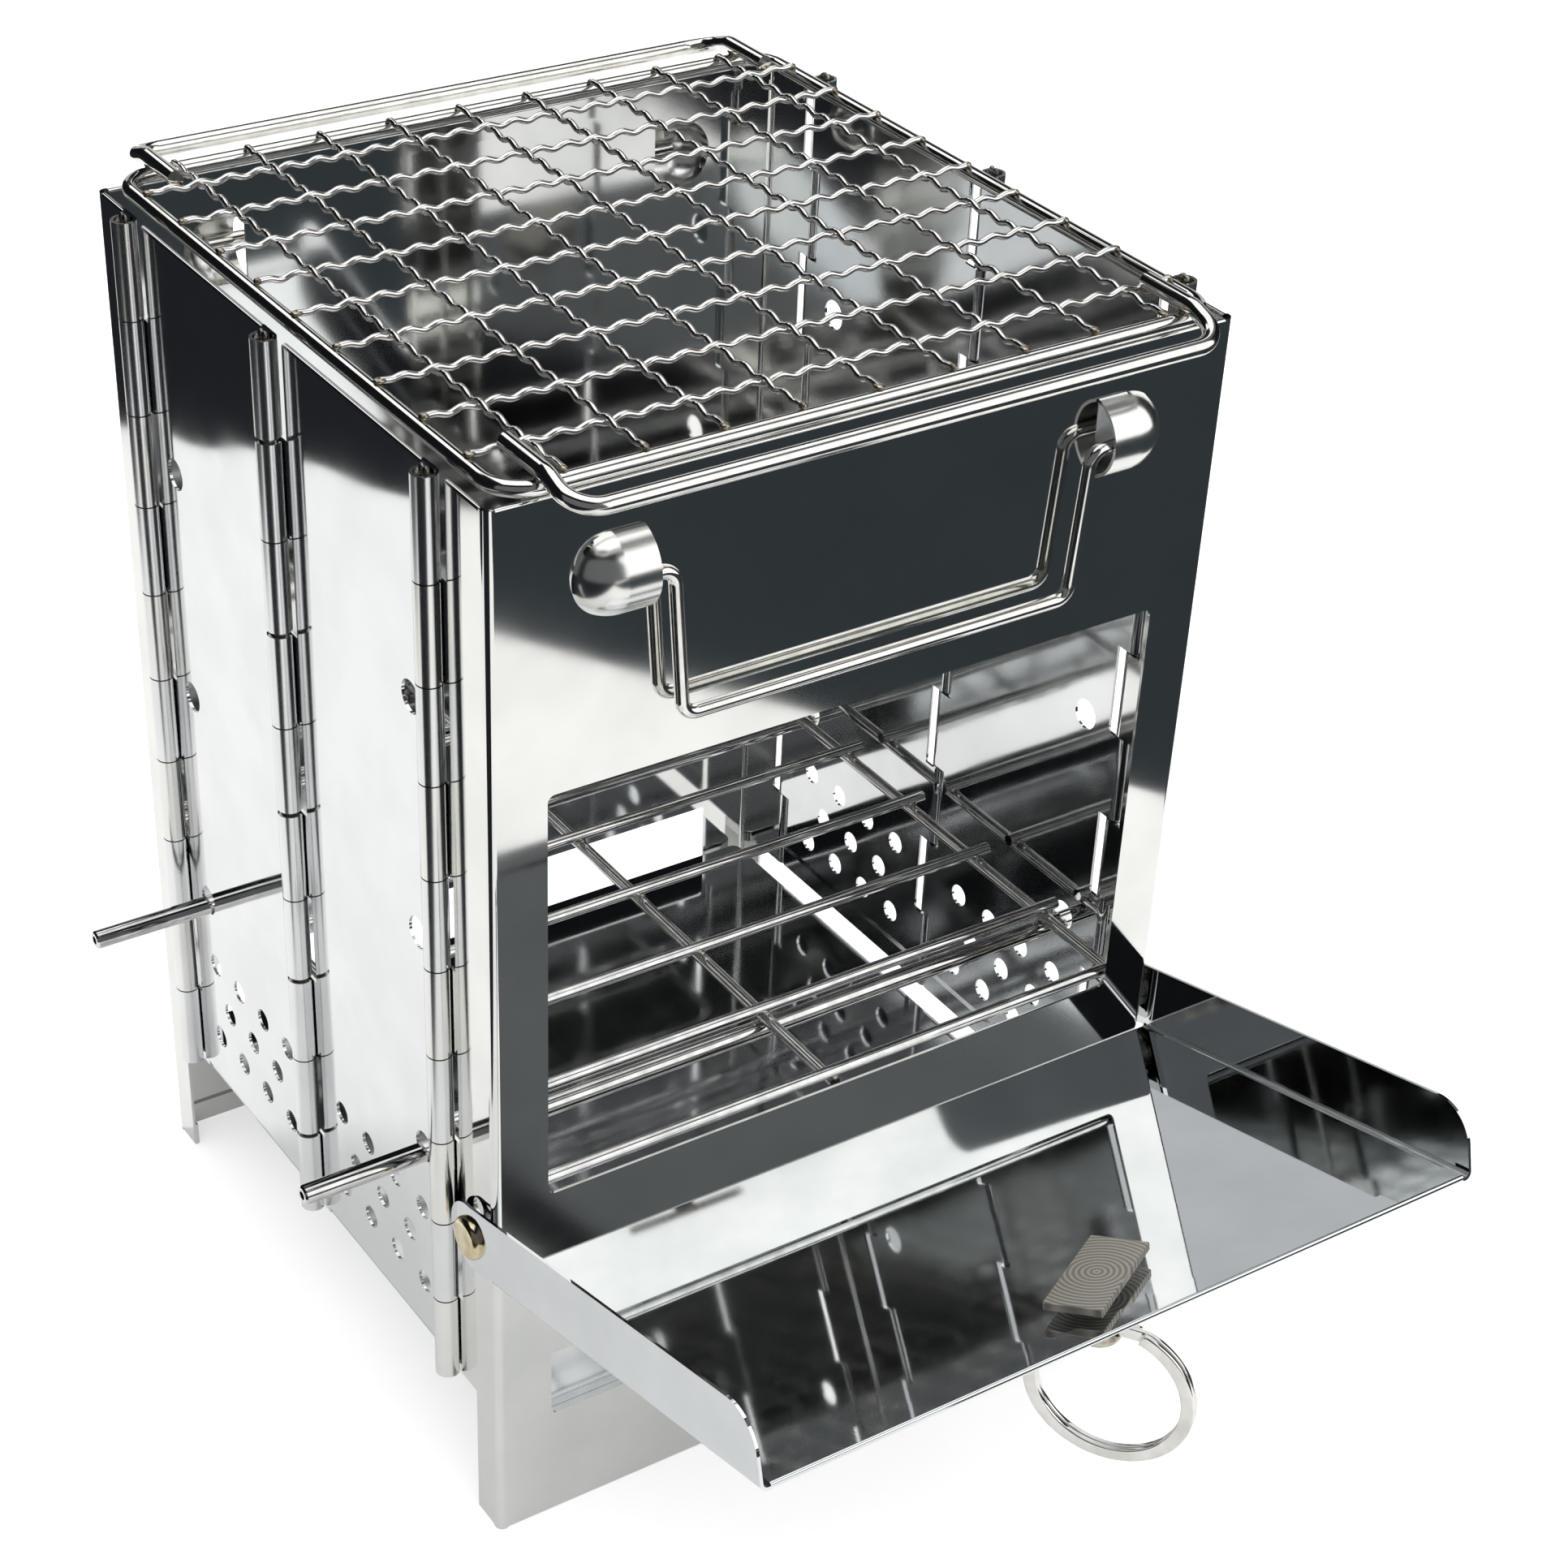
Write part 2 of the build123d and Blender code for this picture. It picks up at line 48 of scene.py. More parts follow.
FRAME_PX = 1932
FOCAL_PX = 3881.08
CENTRE_PX = (904.94, 1176.29)
SENSOR_MM = 36.0
AZIMUTH, ELEVATION, ROLL = (math.radians(v) for v in (-34.22, 35.52, 2.31))
LOOK_AT = Vector((-7.61, -48.16, 100.0)) * MM
DISTANCE = 623.44 * MM


def photo_camera():
    """Stands where the photographer stood, with the photograph's framing."""
    flat = math.cos(ELEVATION)
    back = Vector((math.sin(AZIMUTH) * flat, -math.cos(AZIMUTH) * flat, math.sin(ELEVATION)))
    level = (-back).cross(Vector((0, 0, 1))).normalized()
    above = level.cross(-back)
    right = level * math.cos(ROLL) + above * math.sin(ROLL)
    up = above * math.cos(ROLL) - level * math.sin(ROLL)
    data = bpy.data.cameras.new("photo_camera")
    data.sensor_width = SENSOR_MM
    data.lens = SENSOR_MM * FOCAL_PX / FRAME_PX
    data.shift_x = (FRAME_PX / 2 - CENTRE_PX[0]) / FRAME_PX
    data.shift_y = (CENTRE_PX[1] - FRAME_PX / 2) / FRAME_PX
    data.clip_start = 0.01
    camera = bpy.data.objects.new("photo_camera", data)
    turn = Matrix((right, up, back)).transposed().to_4x4()
    camera.matrix_world = Matrix.Translation(LOOK_AT + back * DISTANCE) @ turn
    bpy.context.scene.collection.objects.link(camera)
    bpy.context.scene.camera = camera


# Node trees


def linear(code):
    """An sRGB hex colour in Blender's linear values."""
    def channel(v):
        return v / 12.92 if v <= 0.04045 else ((v + 0.055) / 1.055) ** 2.4
    return tuple(channel(int(code[i:i + 2], 16) / 255) for i in (0, 2, 4)) + (1.0,)


def add(tree, kind, *inputs, **named):
    """Adds a node. Names in lower case are its settings and names with a capital its inputs;
    inputs without a name go in order. A node or socket among them is linked, and a list of
    them goes to one input."""
    node = tree.nodes.new(kind)
    for name, value in named.items():
        if name[0].islower():
            setattr(node, name, value)
    free = [s for s in node.inputs if s.enabled]
    given = list(zip(free, inputs))
    given += [(next(s for s in free if s.name == name.replace("_", " ")), value)
              for name, value in named.items() if name[0].isupper()]
    for socket, value in given:
        for item in value if isinstance(value, list) else [value]:
            if isinstance(item, bpy.types.Node):
                item = next(s for s in item.outputs if s.enabled)
            if isinstance(item, bpy.types.NodeSocket):
                tree.links.new(item, socket)
            else:
                socket.default_value = item
    return node


def blank(name):
    """A material without nodes, and its tree."""
    made = bpy.data.materials.new(name)
    made.use_nodes = True
    made.node_tree.nodes.clear()
    return made, made.node_tree


# Finishes

# What lies past these places along X or Y is formed out of the walls. Over a short way it
# turns satin, with its own roughness.
WALLS = (77.9, 75.9)
FORMED_OVER = 0.6
FORMED_ROUGHNESS = 0.2
# Sheet that isn't quite flat rises and falls over this length
SWAY_LENGTH = 70


def stainless(name, tints, rough, patch, marks, depth, sway=0.0, formed=False):
    """Bare stainless steel. It takes its two tints and its lowest and highest roughness in
    patches of one size, has marks of a size along X, Y and Z with a depth, and sways where
    sheet isn't quite flat. All sizes are in millimetres. What is formed out past the walls,
    the pressed ears and rolled knuckles, is left satin by its dies."""
    made, tree = blank(name)
    at = add(tree, "ShaderNodeTexCoord").outputs["Object"]
    patches = add(tree, "ShaderNodeTexNoise", Vector=at, Scale=1 / (patch * MM), Detail=3.0)
    share = add(tree, "ShaderNodeMapRange", patches, 0.35, 0.65, 0.0, 1.0)
    colour = add(tree, "ShaderNodeMix", share, linear(tints[0]), linear(tints[1]), data_type="RGBA")
    gloss = add(tree, "ShaderNodeMapRange", patches, 0.3, 0.7, rough[0], rough[1])
    if formed:
        out = add(tree, "ShaderNodeVectorMath", at, operation="ABSOLUTE")
        past = add(tree, "ShaderNodeVectorMath", out, (WALLS[0] * MM, WALLS[1] * MM, 1),
                   operation="SUBTRACT")
        axes = add(tree, "ShaderNodeSeparateXYZ", past)
        most = add(tree, "ShaderNodeMath", axes.outputs[0], axes.outputs[1], operation="MAXIMUM")
        dull = add(tree, "ShaderNodeMapRange", most, 0.0, FORMED_OVER * MM, 0.0, 1.0)
        gloss = add(tree, "ShaderNodeMix", dull, gloss, FORMED_ROUGHNESS)
    drawn = add(tree, "ShaderNodeMapping", at, Scale=tuple(1 / (m * MM) for m in marks))
    grain = add(tree, "ShaderNodeTexNoise", Vector=drawn, Scale=1.0, Detail=2.0)
    waves = add(tree, "ShaderNodeTexNoise", Vector=at, Scale=1 / (SWAY_LENGTH * MM), Detail=1.0)
    slow = add(tree, "ShaderNodeBump", Strength=1.0, Distance=sway * MM, Height=waves)
    fine = add(tree, "ShaderNodeBump", Strength=1.0, Distance=depth * MM, Height=grain, Normal=slow)
    shader = add(tree, "ShaderNodeBsdfPrincipled", Base_Color=colour, Metallic=1.0, Roughness=gloss,
                 Normal=fine)
    add(tree, "ShaderNodeOutputMaterial", shader)
    return made


# The latch's spindle, square to the open door, its tool marks, and its wear in patches about
# 1.1 mm wide
LATCH_AXIS = (2.0 * MM, -151.953 * MM, 95.317 * MM)
DOOR_RISE = math.radians(14.8)
TOOL_MARK_GAP = 1.05 * MM
TOOL_MARK_DEPTH = 0.05 * MM
WEAR_PER_METRE = 900.0


def turned_latch():
    """Stainless faced on a lathe: rings of tool marks about the spindle are cut as grooves, and the way they
    catch the light one by one is painted into the colour as a sheen of light and dark bands.
    The real rings are about 0.3 mm apart and are drawn wider so that they show."""
    made, tree = blank("turned_stainless_latch")
    at = add(tree, "ShaderNodeTexCoord").outputs["Object"]
    about = add(tree, "ShaderNodeMapping", at, LATCH_AXIS, (-DOOR_RISE, 0, 0), vector_type="TEXTURE")
    rings = add(tree, "ShaderNodeTexWave", Vector=about, Scale=2 * math.pi / (20 * TOOL_MARK_GAP),
                Distortion=0.5, Detail=1.0, wave_type="RINGS", rings_direction="Z")
    worn = add(tree, "ShaderNodeTexNoise", Vector=at, Scale=WEAR_PER_METRE, Detail=3.0)
    line = rings.outputs["Fac"]
    # The rings' colour is painted sheen: light and dark bands by turns stand in for the light each groove
    # catches, and the pale band is set light to brighten the latch as a whole. The bump on the same rings
    # cuts the grooves themselves.
    colour = add(tree, "ShaderNodeMix", line, linear("B9B4A9"), linear("F2EDE3"), data_type="RGBA")
    gloss = add(tree, "ShaderNodeMapRange", worn, 0.3, 0.7, 0.48, 0.60)
    grooves = add(tree, "ShaderNodeBump", Strength=0.5, Distance=TOOL_MARK_DEPTH, Height=line)
    shader = add(tree, "ShaderNodeBsdfPrincipled", Base_Color=colour, Metallic=1.0, Roughness=gloss,
                 Normal=grooves)
    add(tree, "ShaderNodeOutputMaterial", shader)
    return made


# Bright-annealed sheet, rolled between polished rolls: a mirror with softened edges and
# faint upright rolling lines. The shells are a little warmer than the walls.
shell_steel = stainless("bright_annealed_shell_sheet", ("EDEDEA", "E5E6E3"), (0.045, 0.07), 18,
                        (0.5, 0.5, 16), 0.0004, sway=0.25, formed=True)
wall_steel = stainless("bright_annealed_wall_sheet", ("E9EAEB", "E2E3E4"), (0.045, 0.07), 18,
                       (0.5, 0.5, 16), 0.0004, sway=0.5, formed=True)
# The door is rubbed brighter by its use, and shows its reflections almost whole
door_steel = stainless("bright_annealed_door_sheet", ("E7EAEC", "DFE2E4"), (0.02, 0.035), 18,
                       (0.5, 16, 0.5), 0.0003, sway=0.04)
# Thin plate, flat but for its rim. Its tint is a shade darker than the walls', painted shade for the inside
# of the stove where it lies
plate_steel = stainless("bright_annealed_ash_plate", ("D2D5D8", "C5C8CB"), (0.05, 0.08), 14,
                        (16, 0.5, 0.5), 0.0004, sway=0.04)
# Wire drawn through a die and tumbled: bright, with a few duller patches
wire_steel = stainless("drawn_stainless_wire", ("F1EFEB", "DEDCD7"), (0.07, 0.16), 5,
                       (1.2, 1.2, 1.2), 0.003)
# The mesh's thinner wire, paler and a little less smooth
mesh_steel = stainless("drawn_stainless_mesh_wire", ("F4F2EF", "E4E2DE"), (0.09, 0.18), 4,
                       (1.0, 1.0, 1.0), 0.003)
# Rod ground along its length, a little greyer than the wire
rod_steel = stainless("ground_stainless_rod", ("E4E4E2", "CBCBC9"), (0.06, 0.12), 5,
                      (12, 0.5, 0.5), 0.004)
# Pins cut from dull wire, in a darker tint than the sheet
pin_steel = stainless("sheared_stainless_pin", ("A9A59E", "7C7872"), (0.22, 0.34), 2,
                      (0.6, 0.6, 3), 0.006)
# A cast stud, satin from tumbling
stud_steel = stainless("cast_stainless_stud", ("CFC9BC", "B2AB9C"), (0.18, 0.32), 1.2,
                       (0.8, 0.8, 0.8), 0.012)
# Rivets with a straw tint left by their heading
rivet_steel = stainless("headed_straw_rivet", ("E6DABC", "CDBB94"), (0.12, 0.22), 2.5,
                        (1.5, 1.5, 1.5), 0.01)
# Washers punched from dull strip
washer_steel = stainless("punched_steel_washer", ("B9B5AD", "97938B"), (0.22, 0.40), 1.0,
                         (1.0, 1.0, 1.0), 0.01)
# Weld metal, browned by its heat and rippled
weld_steel = stainless("heat_tinted_weld", ("CDC4B2", "7F766B"), (0.18, 0.34), 0.9,
                       (0.7, 0.7, 0.7), 0.02)
latch_steel = turned_latch()

FINISH = {
    shell_steel: ("front_shell", "back_shell"),
    wall_steel: ("left_front_panel", "left_rear_panel", "right_front_panel", "right_rear_panel"),
    pin_steel: ("front_hinge_pins", "rear_hinge_pins", "left_middle_pin", "right_middle_pin"),
    door_steel: ("door",),
    plate_steel: ("ash_plate",),
    rivet_steel: ("door_rivets",),
    washer_steel: ("door_washers",),
    latch_steel: ("latch_plate",),
    stud_steel: ("latch_spindle",),
    wire_steel: ("latch_ring", "front_bail", "rear_bail", "grill_frame", "grill_front_handle",
                 "grill_rear_handle"),
    mesh_steel: ("grill_long_wires", "grill_short_wires"),
    rod_steel: ("grate_bars", "grate_cross_bars", "front_support_rod", "rear_support_rod"),
}
for finish, names in FINISH.items():
    for name in names:
        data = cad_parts[name].data
        if not data.materials:
            data.materials.append(finish)
        for i in range(len(data.materials)):
            data.materials[i] = finish

# Pieces made by Geometry Nodes

WIRE_STEPS = 241
WIRE_SIDES = 10
# Weld drops ripple about every 1.4 mm
RIPPLES_PER_METRE = 700.0


def new_object(name, points=(), faces=()):
    """A mesh object at the origin."""
    data = bpy.data.meshes.new(name)
    data.from_pydata([tuple(p) for p in points], [], list(faces))
    made = bpy.data.objects.new(name, data)
    bpy.context.scene.collection.objects.link(made)
    return made


def new_tree(name, **inputs):
    """An empty Geometry Nodes tree with its inputs, and the node that gives them."""
    tree = bpy.data.node_groups.new(name, "GeometryNodeTree")
    tree.interface.new_socket("Geometry", in_out="INPUT", socket_type="NodeSocketGeometry")
    for label, kind in inputs.items():
        tree.interface.new_socket(label.replace("_", " "), in_out="INPUT", socket_type="NodeSocket" + kind)
    tree.interface.new_socket("Geometry", in_out="OUTPUT", socket_type="NodeSocketGeometry")
    return tree, add(tree, "NodeGroupInput").outputs


def grow(obj, tree, **values):
    """Runs a tree on an object with these values and keeps the result as its plain mesh."""
    modifier = obj.modifiers.new(tree.name, "NODES")
    modifier.node_group = tree
    for item in tree.interface.items_tree:
        label = item.name.replace(" ", "_")
        if item.in_out == "INPUT" and label in values:
            modifier[item.identifier] = values[label]
    graph = bpy.context.evaluated_depsgraph_get()
    data = bpy.data.meshes.new_from_object(obj.evaluated_get(graph))
    obj.modifiers.clear()
    obj.data = data
    return obj


def crimped_wires():
    """Parallel wires along X, crimped over and under the wires that cross them. Their ends come
    down on the rails of the frame, melted to small beads."""
    tree, g = new_tree("crimped_wires", Count="Int", First="Vector", Step="Vector", Run="Vector",
                       Waves="Vector", Crimp="Float", Middle_Z="Float", Ease="Float", Rail="Float",
                       Rail_Z="Float", Radius="Float", Bead="Float", Turn="Float", Wire="Material",
                       Melt="Material")
    row = add(tree, "GeometryNodeMeshLine", Count=g["Count"], Start_Location=g["First"], Offset=g["Step"])
    line = add(tree, "GeometryNodeCurvePrimitiveLine", End=g["Run"])
    fine = add(tree, "GeometryNodeResampleCurve", Curve=line, Count=WIRE_STEPS)
    laid = add(tree, "GeometryNodeInstanceOnPoints", Points=row, Instance=fine)
    real = add(tree, "GeometryNodeRealizeInstances", laid)

    here = add(tree, "GeometryNodeInputPosition")
    turns = add(tree, "ShaderNodeVectorMath", here, g["Waves"], operation="MULTIPLY")
    swings = add(tree, "ShaderNodeSeparateXYZ", add(tree, "ShaderNodeVectorMath", turns, operation="COSINE"))
    wave = add(tree, "ShaderNodeMath", swings.outputs[0], swings.outputs[1], operation="MULTIPLY")
    woven = add(tree, "ShaderNodeMath", wave, g["Crimp"], g["Middle Z"], operation="MULTIPLY_ADD")
    x = add(tree, "ShaderNodeMath", add(tree, "ShaderNodeSeparateXYZ", here), operation="ABSOLUTE")
    near_end = add(tree, "ShaderNodeMapRange", x, g["Ease"], g["Rail"], interpolation_type="SMOOTHSTEP")
    z = add(tree, "ShaderNodeMix", near_end, woven, g["Rail Z"])
    bent = add(tree, "GeometryNodeSetPosition", real, Offset=add(tree, "ShaderNodeCombineXYZ", Z=z))

    ring = add(tree, "GeometryNodeCurvePrimitiveCircle", Resolution=WIRE_SIDES, Radius=g["Radius"])
    tube = add(tree, "GeometryNodeCurveToMesh", Curve=bent, Profile_Curve=ring, Fill_Caps=True)
    wires = add(tree, "GeometryNodeSetMaterial", tube, Material=g["Wire"])

    ball = add(tree, "GeometryNodeMeshIcoSphere", Radius=g["Bead"], Subdivisions=3)
    size = add(tree, "FunctionNodeRandomValue", (0.95, 0.8, 0.55), (1.5, 1.2, 0.8), Seed=4,
               data_type="FLOAT_VECTOR")
    drops = add(tree, "GeometryNodeInstanceOnPoints", bent, add(tree, "GeometryNodeCurveEndpointSelection"),
                ball, Scale=size)
    melted = add(tree, "GeometryNodeSetMaterial", add(tree, "GeometryNodeRealizeInstances", drops),
                 Material=g["Melt"])
    join = add(tree, "GeometryNodeJoinGeometry", [melted, wires])
    turned = add(tree, "GeometryNodeTransform", join, Rotation=add(tree, "ShaderNodeCombineXYZ", Z=g["Turn"]))
    add(tree, "NodeGroupOutput", add(tree, "GeometryNodeSetShadeSmooth", turned))
    return tree


def weld_drops():
    """A flattened, uneven drop of weld metal at each point."""
    tree, g = new_tree("weld_drops", Size="Vector", Seed="Int", Unevenness="Float", Melt="Material")
    ball = add(tree, "GeometryNodeMeshIcoSphere", Radius=1.0, Subdivisions=3)
    spin = add(tree, "FunctionNodeRandomValue", (0.0, 0.0, 0.0), (0.25, 0.25, 6.28), Seed=g["Seed"],
               data_type="FLOAT_VECTOR")
    drops = add(tree, "GeometryNodeInstanceOnPoints", g["Geometry"], Instance=ball, Scale=g["Size"],
                Rotation=spin)
    solid = add(tree, "GeometryNodeRealizeInstances", drops)
    rough = add(tree, "ShaderNodeTexNoise", Scale=RIPPLES_PER_METRE, Detail=1.0)
    about = add(tree, "ShaderNodeVectorMath", rough.outputs["Color"], (0.5, 0.5, 0.5), operation="SUBTRACT")
    push = add(tree, "ShaderNodeVectorMath", about, Scale=g["Unevenness"], operation="SCALE")
    moved = add(tree, "GeometryNodeSetPosition", solid, Offset=push)
    smooth = add(tree, "GeometryNodeSetShadeSmooth", moved)
    add(tree, "NodeGroupOutput", add(tree, "GeometryNodeSetMaterial", smooth, Material=g["Melt"]))
    return tree


# The grill's mesh: nine wires each way, with two and a half crimps from wire to wire. Each row
# has the place of the rails that its wires cross and the wires' half length.

MESH_D = 1.25
PITCH = 15.5
COUNT = 9
CRIMP = 0.42
CRIMPS = 2.5
RAIL_TOP = 231.02
WOVEN_Z = RAIL_TOP + 0.10
ENDS_Z = RAIL_TOP + 0.35
EASE = 0.4 * PITCH
BEAD = 0.85
LONG_RAIL, LONG_HALF = 73.5, 72.6
SHORT_RAIL, SHORT_HALF = 74.4, 73.5

mesh_tree = crimped_wires()
for name, stands_for, crimp, turn, rail, half in (
        ("woven_long_wires", "grill_long_wires", CRIMP, 0.0, LONG_RAIL, LONG_HALF),
        ("woven_short_wires", "grill_short_wires", -CRIMP, math.pi / 2, SHORT_RAIL, SHORT_HALF)):
    wires = grow(
        new_object(name), mesh_tree, Count=COUNT, First=(-half * MM, -(COUNT - 1) / 2 * PITCH * MM, 0),
        Step=(0, PITCH * MM, 0), Run=(2 * half * MM, 0, 0),
        Waves=(2 * math.pi * CRIMPS / (PITCH * MM), math.pi / (PITCH * MM), 0), Crimp=crimp * MM,
        Middle_Z=WOVEN_Z * MM, Ease=(rail - EASE) * MM, Rail=rail * MM, Rail_Z=ENDS_Z * MM,
        Radius=MESH_D / 2 * MM, Bead=BEAD * MM, Turn=turn, Wire=mesh_steel, Melt=weld_steel)
    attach(wires, "grill")
    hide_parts(stands_for)

# Weld drops: the grill's handles on its frame, and every crossing of the grate

HANDLE_X = 66.5
HANDLE_YS = (74.4, 63.4)
HANDLE_WELD_Z = 231.3
CROSS_BAR_XS = (-71, 0, 71)
BAR_PITCH = 24.3
GRATE_WELD_Z = 83.25
WELD_UNEVEN = 0.6

weld_tree = weld_drops()
grill_welds = [(sx * HANDLE_X * MM, sy * y * MM, HANDLE_WELD_Z * MM)
               for sx in (-1, 1) for sy in (-1, 1) for y in HANDLE_YS]
grate_welds = [(x * MM, k * BAR_PITCH * MM, GRATE_WELD_Z * MM) for x in CROSS_BAR_XS for k in range(-3, 4)]
for name, body, points, size, seed in (
        ("grill_weld_beads", "grill", grill_welds, (1.5, 1.3, 0.9), 2),
        ("grate_weld_beads", "grate", grate_welds, (1.3, 1.3, 0.75), 5)):
    drops = grow(new_object(name, points), weld_tree, Size=tuple(v * MM for v in size), Seed=seed,
                 Unevenness=WELD_UNEVEN * MM, Melt=weld_steel)
    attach(drops, body)

# Hinge pin ends, pinched to two lobes each so that the pins stay in their knuckles

PIN_X, PIN_Y = 79.35, 58.9
LOBE = (0.9, 0.6, 1.0)
LOBE_OFF = 0.66
LOBE_UNEVEN = 0.2
for name, body, pins, places in (
        ("front_pin_ends", "front", "front_hinge_pins", ((-PIN_X, -PIN_Y), (PIN_X, -PIN_Y))),
        ("rear_pin_ends", "back", "rear_hinge_pins", ((-PIN_X, PIN_Y), (PIN_X, PIN_Y))),
        ("left_middle_pin_ends", "left_rear_wall", "left_middle_pin", ((-PIN_X, 0),)),
        ("right_middle_pin_ends", "right_rear_wall", "right_middle_pin", ((PIN_X, 0),))):
    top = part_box(pins)[1].z + LOBE[2] * MM
    points = [(x * MM, (y + side * LOBE_OFF) * MM, top) for x, y in places for side in (-1, 1)]
    ends = grow(new_object(name, points), weld_tree, Size=tuple(v * MM for v in LOBE), Seed=7,
                Unevenness=LOBE_UNEVEN * MM, Melt=pin_steel)
    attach(ends, body)

# The pull ring, wound from flat wire

RING_CENTRE = Vector((3.817, -158.264, 66.989)) * MM
RING_ACROSS = Vector((-0.5299, 0.8199, -0.2166)).normalized()
RING_DOWN = (RING_CENTRE - Vector((2.0, -155.453, 82.072)) * MM).normalized()
RING_MEAN = 15.1
RING_FLAT = (2.6, 1.12)
RING_CORNER = 0.28
RING_GAP_TURN = math.radians(3)
RING_START = math.radians(-118)
RING_STEP = math.radians(22)
RING_STEPS = 260
RING_AIR = 0.04
CORNER_STEPS = 4


def split_ring():
    """Two turns on each other, which change places at a short step by the wire's ends."""
    mesh = bmesh.new()
    side = RING_ACROSS.cross(RING_DOWN).normalized()
    w, t = RING_FLAT[0] / 2 - RING_CORNER, RING_FLAT[1] / 2 - RING_CORNER
    section = []
    for cx, cy, first in ((w, t, 0), (-w, t, 90), (-w, -t, 180), (w, -t, 270)):
        for k in range(CORNER_STEPS):
            a = math.radians(first + 90 / (CORNER_STEPS - 1) * k)
            section.append((cx + RING_CORNER * math.cos(a), cy + RING_CORNER * math.sin(a)))
    loops = []
    for i in range(RING_STEPS + 1):
        run = (4 * math.pi - RING_GAP_TURN) * i / RING_STEPS
        rise = min(max((run - 2 * math.pi + RING_STEP / 2) / RING_STEP, 0), 1)
        rise = rise * rise * (3 - 2 * rise)
        level = (rise - 0.5) * (RING_FLAT[1] + RING_AIR)
        out = RING_ACROSS * math.cos(RING_START + run) + RING_DOWN * math.sin(RING_START + run)
        loops.append([mesh.verts.new(RING_CENTRE + out * (RING_MEAN + u) * MM + side * (level + v) * MM)
                      for u, v in section])
    for a, b in zip(loops, loops[1:]):
        for k in range(len(section)):
            n = (k + 1) % len(section)
            mesh.faces.new((a[k], a[n], b[n], b[k])).smooth = True
    mesh.faces.new(loops[0])
    mesh.faces.new(loops[-1][::-1])
    bmesh.ops.recalc_face_normals(mesh, faces=mesh.faces)
    made = new_object("split_ring")
    mesh.to_mesh(made.data)
    mesh.free()
    made.data.materials.append(wire_steel)
    return made


ring = split_ring()
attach(ring, "ring")
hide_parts("latch_ring")

# The studio. Its cards are placed in millimetres across the view to the right, away from the
# camera, and up. The floor, camera_table and rear_softbox are square to the stove instead.

WORLD_LIGHT = 0.70
FLOOR = 3000
FLOOR_Z = -0.1
FLOOR_LIFT = 0.52
FLOOR_IN_STEEL = 0.12
SOFTBOX_GLOW = 1.35
FAR = 2600
SIDE = 1500
HIGH = 1600
REAR = 3800
TABLE_Z = 1
BLACK_TO = 800
SOFTBOX_Z = 1500


def along_view(*corners):
    """Corners given across the view to the right, away from the camera, and up."""
    c, s = math.cos(AZIMUTH), math.sin(AZIMUTH)
    return [(c * p - s * d, s * p + c * d, z) for p, d, z in corners]


def card(name, points, finish, seen=False):
    """A flat piece of the studio; one that isn't seen shows only in reflections."""
    made = new_object(name, [tuple(c * MM for c in p) for p in points], [tuple(range(len(points)))])
    made.data.materials.append(finish)
    if not seen:
        made.visible_camera = made.visible_diffuse = made.visible_shadow = False


def upright_card(name, start, end, finish):
    """A card that stands on the floor and reaches the ceiling."""
    card(name, along_view((*start, 0), (*end, 0), (*end, HIGH), (*start, HIGH)), finish)


def level_card(name, across, away, z, finish):
    """A level card between two places across the view and two away from the camera."""
    (left, right), (near, far) = across, away
    card(name, along_view((left, near, z), (right, near, z), (right, far, z), (left, far, z)), finish)


def lamp(name, at, size, power):
    """A lamp turned to the stove, which doesn't show in its steel."""
    data = bpy.data.lights.new(name, "AREA")
    data.shape = "RECTANGLE"
    data.size, data.size_y = size
    data.energy = power
    made = bpy.data.objects.new(name, data)
    made.location = Vector(at) * MM
    made.rotation_euler = (LOOK_AT - made.location).to_track_quat("-Z", "Y").to_euler()
    made.visible_glossy = False
    bpy.context.scene.collection.objects.link(made)


def glowing(name, colour, strength=1.0):
    """A finish that shows its own colour whatever the light."""
    made, tree = blank(name)
    glow = add(tree, "ShaderNodeEmission", linear(colour), strength)
    add(tree, "ShaderNodeOutputMaterial", glow)
    return made


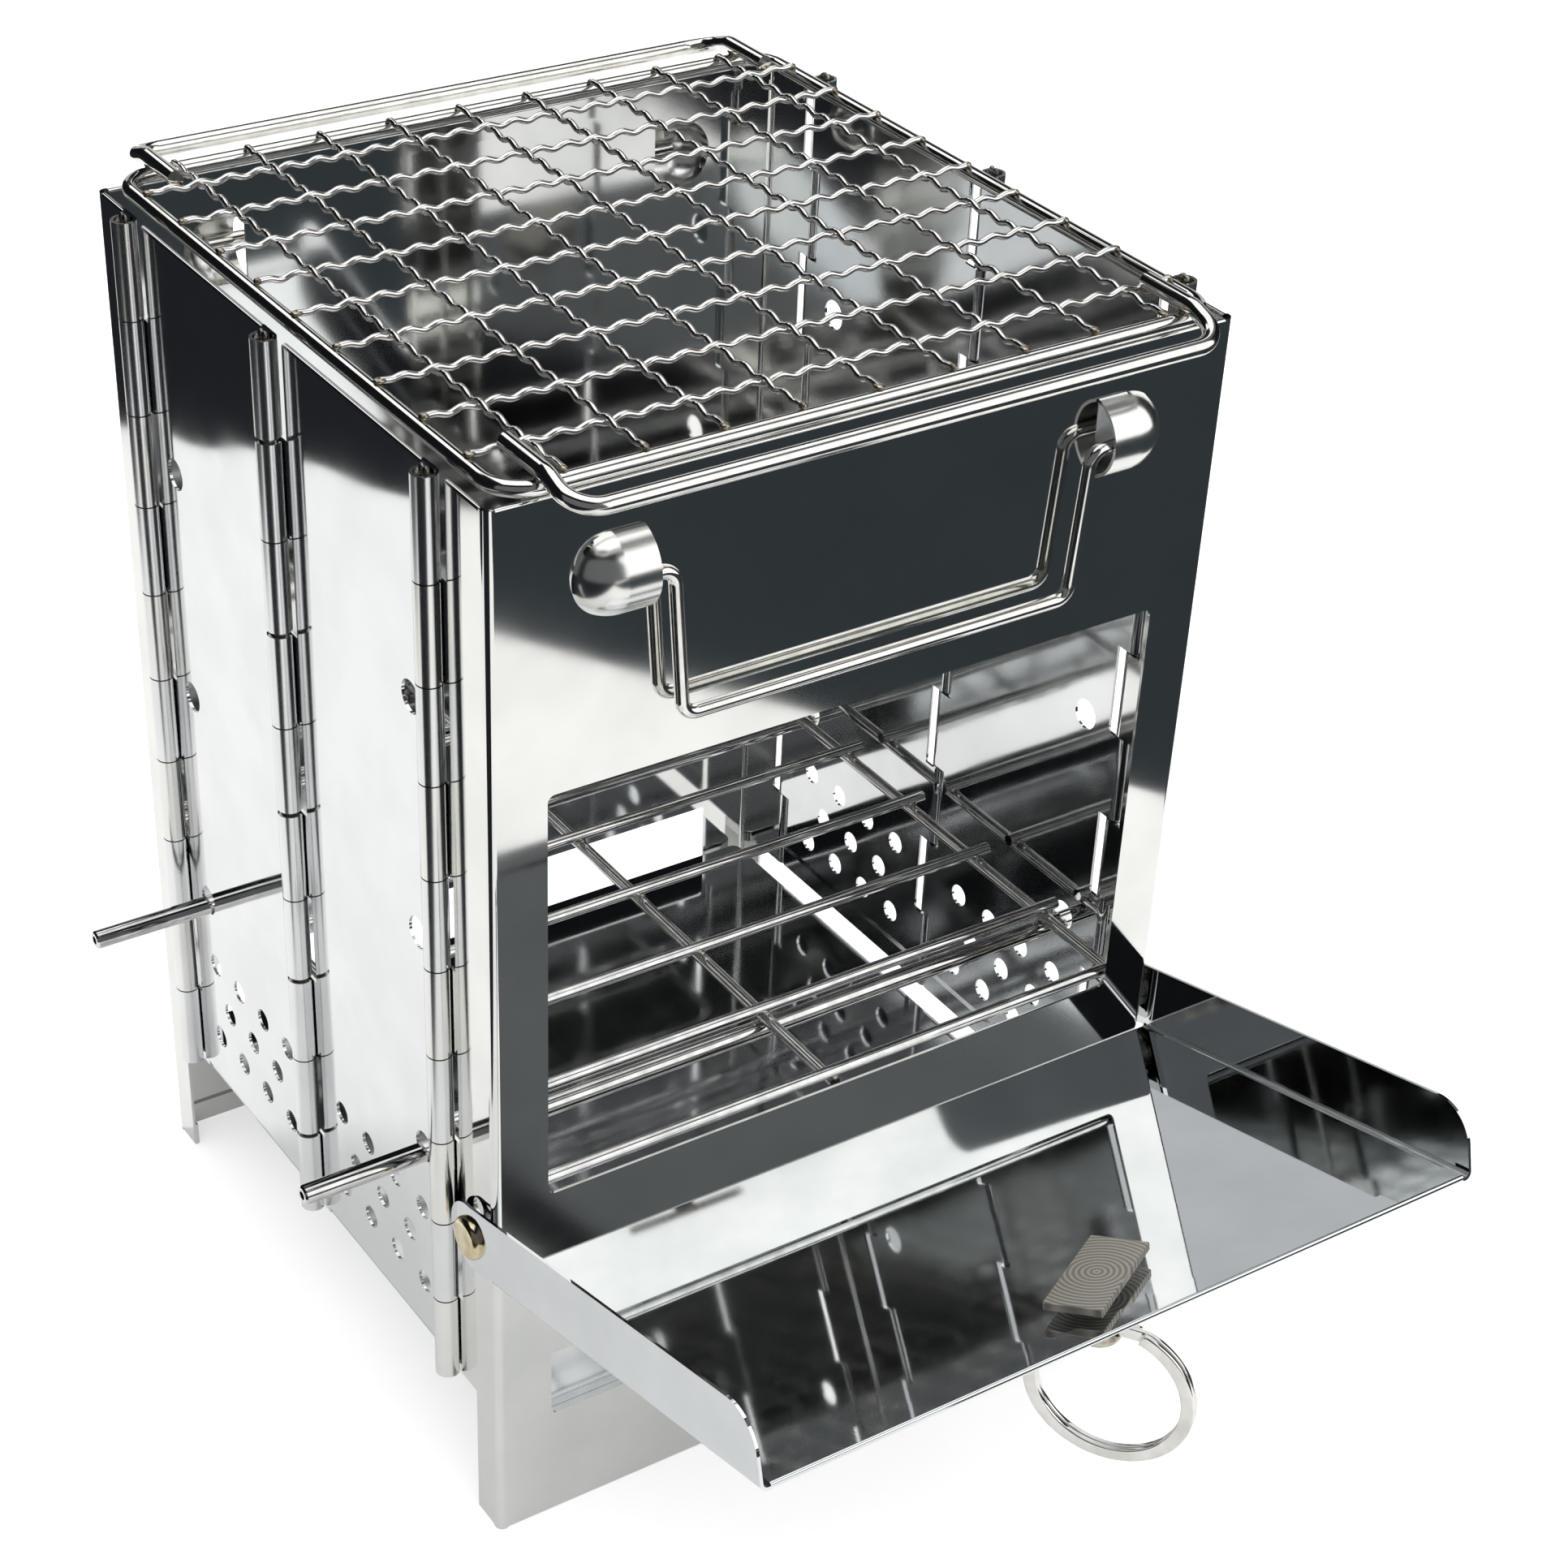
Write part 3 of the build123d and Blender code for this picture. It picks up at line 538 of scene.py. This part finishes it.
def studio():
    """A white paper sweep that runs away from the camera between two dark tables, under soft
    light, with dark flags round it. The tables and flags show only in the steel."""
    world = bpy.data.worlds.new("studio")
    bpy.context.scene.world = world
    world.use_nodes = True
    tree = world.node_tree
    tree.nodes.clear()
    path = add(tree, "ShaderNodeLightPath").outputs
    seen = add(tree, "ShaderNodeMath", path["Is Camera Ray"], path["Is Glossy Ray"], operation="MAXIMUM")
    level = add(tree, "ShaderNodeMapRange", seen, 0.0, 1.0, WORLD_LIGHT, 1.0)
    back = add(tree, "ShaderNodeBackground", linear("FFFFFF"), level)
    add(tree, "ShaderNodeOutputWorld", back)

    # Matt paper, lifted to white where the camera sees it and a little where the steel does
    floor, tree = blank("white_paper_floor")
    paper = add(tree, "ShaderNodeBsdfDiffuse", linear("F4F4F3"))
    path = add(tree, "ShaderNodeLightPath").outputs
    in_steel = add(tree, "ShaderNodeMath", path["Is Glossy Ray"], FLOOR_IN_STEEL, operation="MULTIPLY")
    lift = add(tree, "ShaderNodeMath", path["Is Camera Ray"], FLOOR_LIFT, in_steel,
               operation="MULTIPLY_ADD")
    glow = add(tree, "ShaderNodeEmission", linear("FFFFFF"), lift)
    add(tree, "ShaderNodeOutputMaterial", add(tree, "ShaderNodeAddShader", paper, glow))
    card("floor", [(-FLOOR, -FLOOR, FLOOR_Z), (FLOOR, -FLOOR, FLOOR_Z), (FLOOR, FLOOR, FLOOR_Z),
                   (-FLOOR, FLOOR, FLOOR_Z)], floor, seen=True)

    grey = glowing("grey_flag", "66686A")
    black = glowing("black_flag", "131517")
    pale = glowing("pale_screen", "C2C4C5")
    slate = glowing("slate_table", "32383C")
    dark = glowing("dark_table", "202226")
    soft = glowing("softbox", "FFFFFF", SOFTBOX_GLOW)
    level_card("right_table", (300, FAR), (-900, FAR), TABLE_Z, slate)
    level_card("left_table", (-410, -FAR), (-FAR, FAR), TABLE_Z, dark)
    card("camera_table", [(-212, -60, TABLE_Z), (-FAR, -60, TABLE_Z), (-FAR, -FAR, TABLE_Z),
                          (-212, -FAR, TABLE_Z)], dark)
    upright_card("front_flag", (-FAR, -1400), (FAR, -1400), grey)
    upright_card("left_flag", (-SIDE, -FAR), (-SIDE, FAR), black)
    upright_card("right_flag", (SIDE, -FAR), (SIDE, FAR), black)
    upright_card("rear_screen", (-FAR, REAR), (FAR, REAR), pale)
    level_card("ceiling", (-FAR, BLACK_TO), (-FAR, REAR), HIGH, black)
    level_card("right_ceiling", (BLACK_TO, FAR), (-FAR, REAR), HIGH, grey)
    level_card("overhead_softbox", (-600, 700), (-600, 1200), SOFTBOX_Z, soft)
    card("right_softbox", along_view((1200, -1100, 120), (1200, 300, 120), (1100, 300, 1450),
                                     (1100, -1100, 1450)), soft)
    card("rear_softbox", [(-380, 1250, SOFTBOX_Z), (380, 1250, SOFTBOX_Z), (520, 2500, SOFTBOX_Z),
                          (-520, 2500, SOFTBOX_Z)], soft)
    lamp("key_softbox", (800, 700, 1000), (0.4, 0.4), 9.0)
    lamp("fill_softbox", (-300, -700, 1200), (1.0, 0.8), 4.0)


studio()
photo_camera()
bpy.context.scene.view_settings.view_transform = "Standard"
